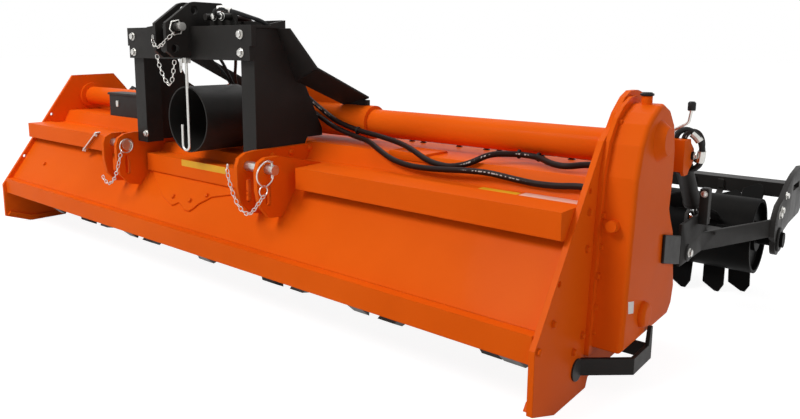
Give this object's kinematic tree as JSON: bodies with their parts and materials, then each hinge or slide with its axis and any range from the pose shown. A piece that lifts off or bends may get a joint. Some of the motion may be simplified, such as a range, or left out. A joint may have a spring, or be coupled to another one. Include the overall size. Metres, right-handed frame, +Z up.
{
  "type": "stone burier",
  "caption": "Tractor-mounted stone burier: folded hood over a bladed rotor, rod grate, three-point tower, side chain case, and a rear paddle roller held by two cylinders.",
  "frame": {"origin": "on the ground, under the middle of the machine with its roller", "axes": "+X across the machine towards the chain case, +Y backwards from the hitch to the roller, +Z up"},
  "size_m": [3.92, 1.983, 1.174],
  "materials": {
    "black_paint": "satin black paint",
    "chrome": "hard chromed rod",
    "dark_steel": "dark forged steel",
    "hose_rubber": "black rubber hose",
    "machined_steel": "machined steel",
    "orange_paint": "gloss orange paint",
    "zinc": "zinc plated"
  },
  "bodies": {
    "frame": {"apron_doubler": "orange_paint", "case_guard": "black_paint", "chain_case": "orange_paint", "cylinder_bracket_left": "orange_paint", "cylinder_bracket_right": "orange_paint", "drive_tube": "orange_paint", "filler_cap": "black_paint", "front_beam": "orange_paint", "gearbox": "orange_paint", "hood": "orange_paint", "hose_holder": "black_paint", "hose_lower": "hose_rubber", "hose_upper": "hose_rubber", "ledge": "orange_paint", "lower_clevis_left": "orange_paint", "lower_clevis_right": "orange_paint", "lower_pin_left": "zinc", "lower_pin_right": "zinc", "pto_guard": "black_paint", "rear_beam": "orange_paint", "rear_strip": "black_paint", "rod_grate": "black_paint", "rotor_bearing_left": "dark_steel", "rotor_bearing_right": "dark_steel", "shaft_hook": "zinc", "side_plate_left": "orange_paint", "side_plate_right": "orange_paint", "skid_left": "orange_paint", "skid_right": "orange_paint", "stay_tube": "orange_paint", "toolbox": "black_paint", "top_link_clevis": "black_paint", "top_link_pin": "zinc", "tower_crossbar": "black_paint", "tower_left": "black_paint", "tower_right": "black_paint", "tower_stay_left": "black_paint", "tower_stay_right": "black_paint", "valve_lever": "zinc"},
    "rotor": {"rotor_shaft": "dark_steel", "rotor_blades": "dark_steel"},
    "pto_shaft": {"pto_shaft": "machined_steel"},
    "roller_frame": {"roller_arm_left": "black_paint", "roller_arm_right": "black_paint", "scraper_beam": "black_paint"},
    "roller": {"roller": "black_paint"},
    "barrel_left": {"cylinder_barrel_left": "black_paint"},
    "rod_left": {"cylinder_rod_left": "chrome"},
    "barrel_right": {"cylinder_barrel_right": "black_paint"},
    "rod_right": {"cylinder_rod_right": "chrome"}
  },
  "joints": [
    {"name": "rotor_spin", "type": "hinge", "parent": "frame", "child": "rotor", "pos_m": [0, -0.6235, 0.236], "axis": [1, 0, 0], "continuous": true},
    {"name": "pto_spin", "type": "hinge", "parent": "frame", "child": "pto_shaft", "pos_m": [0, -0.6685, 0.702], "axis": [0, 1, 0], "continuous": true},
    {"name": "roller_frame_tilt", "type": "hinge", "parent": "frame", "child": "roller_frame", "pos_m": [0, -0.1385, 0.32], "axis": [1, 0, 0], "range_deg": [-6, 10]},
    {"name": "roller_spin", "type": "hinge", "parent": "roller_frame", "child": "roller", "pos_m": [0, 0.4815, 0.262], "axis": [1, 0, 0], "continuous": true},
    {"name": "barrel_swing_left", "type": "hinge", "parent": "frame", "child": "barrel_left", "pos_m": [-1.724, -0.1125, 0.646], "axis": [1, 0, 0], "range_deg": [-2.48, 3.86]},
    {"name": "rod_slide_left", "type": "slide", "parent": "barrel_left", "child": "rod_left", "axis": [0, 0.669, -0.7433], "range_m": [-0.0451, 0.0282]},
    {"name": "barrel_swing_right", "type": "hinge", "parent": "frame", "child": "barrel_right", "pos_m": [1.724, -0.1125, 0.646], "axis": [1, 0, 0], "range_deg": [-2.48, 3.86]},
    {"name": "rod_slide_right", "type": "slide", "parent": "barrel_right", "child": "rod_right", "axis": [0, 0.669, -0.7433], "range_m": [-0.0451, 0.0282]}
  ],
  "couplings": [
    {"joint": "pto_spin", "follows": "rotor_spin", "ratio": 4.4},
    {"joint": "barrel_swing_left", "follows": "roller_frame_tilt", "ratio": 0.34645},
    {"joint": "rod_slide_left", "follows": "roller_frame_tilt", "m_per_rad": -0.24097},
    {"joint": "barrel_swing_right", "follows": "roller_frame_tilt", "ratio": 0.34645},
    {"joint": "rod_slide_right", "follows": "roller_frame_tilt", "m_per_rad": -0.24097}
  ]
}
